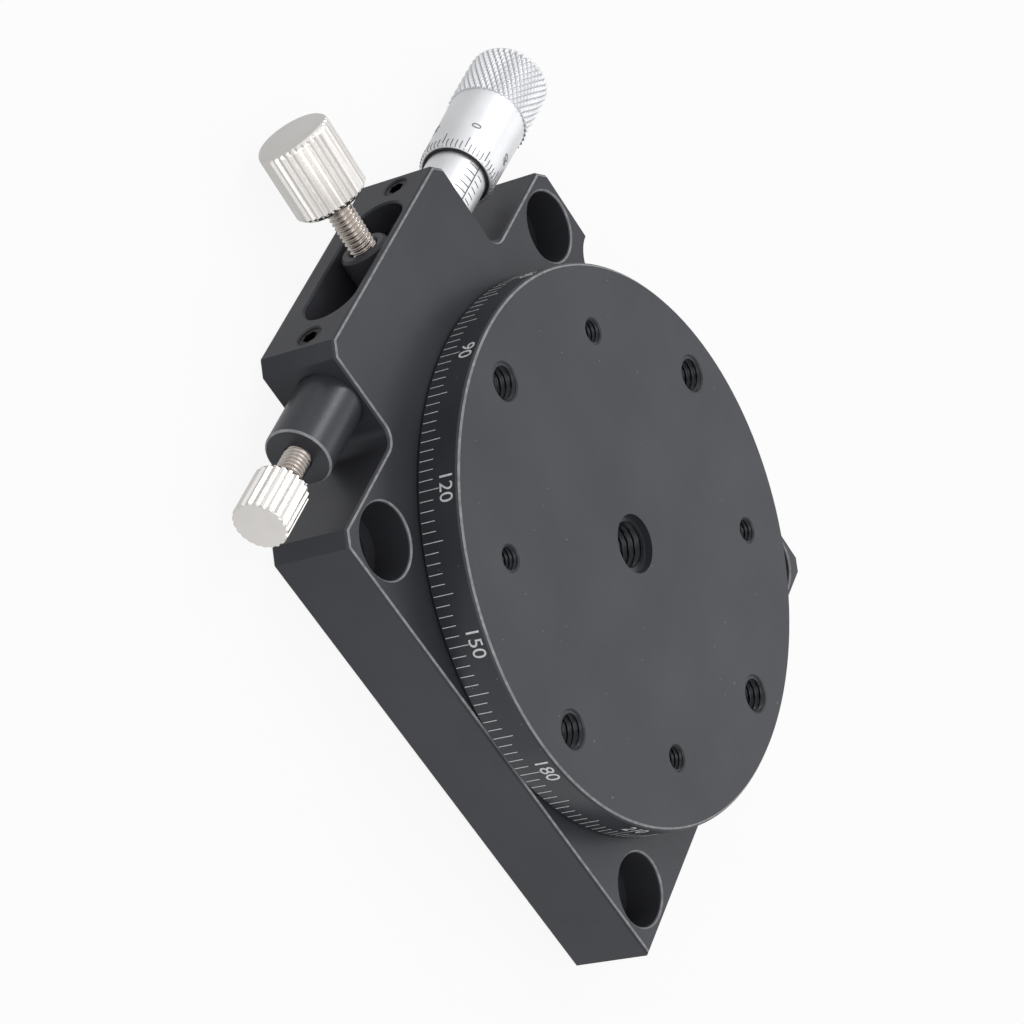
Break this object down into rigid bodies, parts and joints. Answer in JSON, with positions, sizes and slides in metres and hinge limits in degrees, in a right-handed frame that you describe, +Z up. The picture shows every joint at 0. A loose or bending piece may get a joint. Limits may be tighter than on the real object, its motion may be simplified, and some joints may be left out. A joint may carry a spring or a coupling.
{
  "type": "manual rotation stage",
  "caption": "Round drilled table that turns by hand over a square base, with a clamp screw and a micrometer that swings it finely through a spring loaded tangent arm.",
  "frame": {"origin": "on the table's turning axis, at the underside of the base plate", "axes": "+Z up along the table's turning axis; -Y towards the clamp screw and the slotted front face; +X from the micrometer towards the return spring housing"},
  "size_m": [0.0727, 0.0857, 0.0147],
  "materials": {
    "black_anodised": "black anodised, satin, with a fine grain",
    "satin_chrome": "satin chrome",
    "bright_nickel": "bright nickel plate",
    "screw_steel": "plain turned steel",
    "hardened_steel": "ground and polished",
    "brass": "plain turned brass",
    "spring_steel": "bright drawn wire"
  },
  "bodies": {
    "base": {"base_plate": "black_anodised", "pivot_post": "black_anodised", "pivot_screw_1": "screw_steel", "pivot_screw_2": "screw_steel", "pivot_screw_3": "screw_steel", "pivot_screw_4": "screw_steel", "bearing_inner_race": "hardened_steel", "micrometer_sleeve": "satin_chrome", "spring_housing": "black_anodised", "sleeve_set_screw": "screw_steel", "housing_set_screw": "screw_steel", "return_spring": "spring_steel"},
    "arm": {"clamp_ring": "black_anodised", "arm_rod": "black_anodised"},
    "table": {"table_plate": "black_anodised", "table_hub": "black_anodised", "bearing_outer_race": "hardened_steel", "bearing_retainer": "black_anodised", "hub_screw_1": "screw_steel", "hub_screw_2": "screw_steel", "hub_screw_3": "screw_steel", "hub_screw_4": "screw_steel"},
    "ball_cage": {"bearing_cage": "hardened_steel"},
    "clamp_tip": {"clamp_pad": "brass"},
    "clamp_screw": {"clamp_shank": "screw_steel", "clamp_knob": "bright_nickel"},
    "drive_tip": {"spindle_tip": "hardened_steel"},
    "thimble": {"micrometer_spindle": "hardened_steel", "micrometer_thimble": "satin_chrome", "thimble_grip": "satin_chrome"},
    "spring_plunger": {"plunger": "screw_steel"},
    "spring_seat": {"lock_seat": "screw_steel"},
    "lock_screw": {"lock_shank": "screw_steel", "lock_knob": "bright_nickel"}
  },
  "joints": [
    {"name": "thimble_turn", "type": "hinge", "parent": "drive_tip", "child": "thimble", "pos_m": [0, -0.0359, 0.00545], "axis": [1, 0, 0], "range_deg": [-813, 3700]},
    {"name": "spindle_feed", "type": "slide", "parent": "base", "child": "drive_tip", "axis": [1, 0, 0], "range_m": [-0.00113, 0.00514]},
    {"name": "arm_swing", "type": "hinge", "parent": "base", "child": "arm", "pos_m": [0, 0, 0.00545], "axis": [0, 0, 1], "range_deg": [-1.83, 8.24]},
    {"name": "plunger_slide", "type": "slide", "parent": "base", "child": "spring_plunger", "axis": [1, 0, 0], "range_m": [-0.00115, 0.00516], "deforming": ["return_spring"]},
    {"name": "table_turn", "type": "hinge", "parent": "arm", "child": "table", "pos_m": [0, 0, 0.0098], "axis": [0, 0, 1], "continuous": true},
    {"name": "cage_turn", "type": "hinge", "parent": "base", "child": "ball_cage", "pos_m": [0, 0, 0.006], "axis": [0, 0, 1], "continuous": true},
    {"name": "clamp_turn", "type": "hinge", "parent": "clamp_tip", "child": "clamp_screw", "pos_m": [0, 0, 0.00545], "axis": [-0.0558, -0.9984, 0], "range_deg": [0, 721]},
    {"name": "clamp_feed", "type": "slide", "parent": "arm", "child": "clamp_tip", "axis": [-0.0558, -0.9984, 0], "range_m": [0, 0.001]},
    {"name": "lock_turn", "type": "hinge", "parent": "spring_seat", "child": "lock_screw", "pos_m": [0, -0.0359, 0.00545], "axis": [1, 0, 0], "range_deg": [-901, 361]},
    {"name": "lock_feed", "type": "slide", "parent": "base", "child": "spring_seat", "axis": [1, 0, 0], "range_m": [-0.00125, 0.0005]}
  ],
  "couplings": [
    {"joint": "thimble_turn", "follows": "spindle_feed", "rad_per_m": 12566},
    {"joint": "arm_swing", "follows": "spindle_feed", "rad_per_m": 27.855},
    {"joint": "plunger_slide", "follows": "spindle_feed", "ratio": 1},
    {"joint": "cage_turn", "follows": "table_turn", "ratio": 0.55581},
    {"joint": "clamp_turn", "follows": "clamp_feed", "rad_per_m": 12566},
    {"joint": "lock_turn", "follows": "lock_feed", "rad_per_m": 12566}
  ]
}
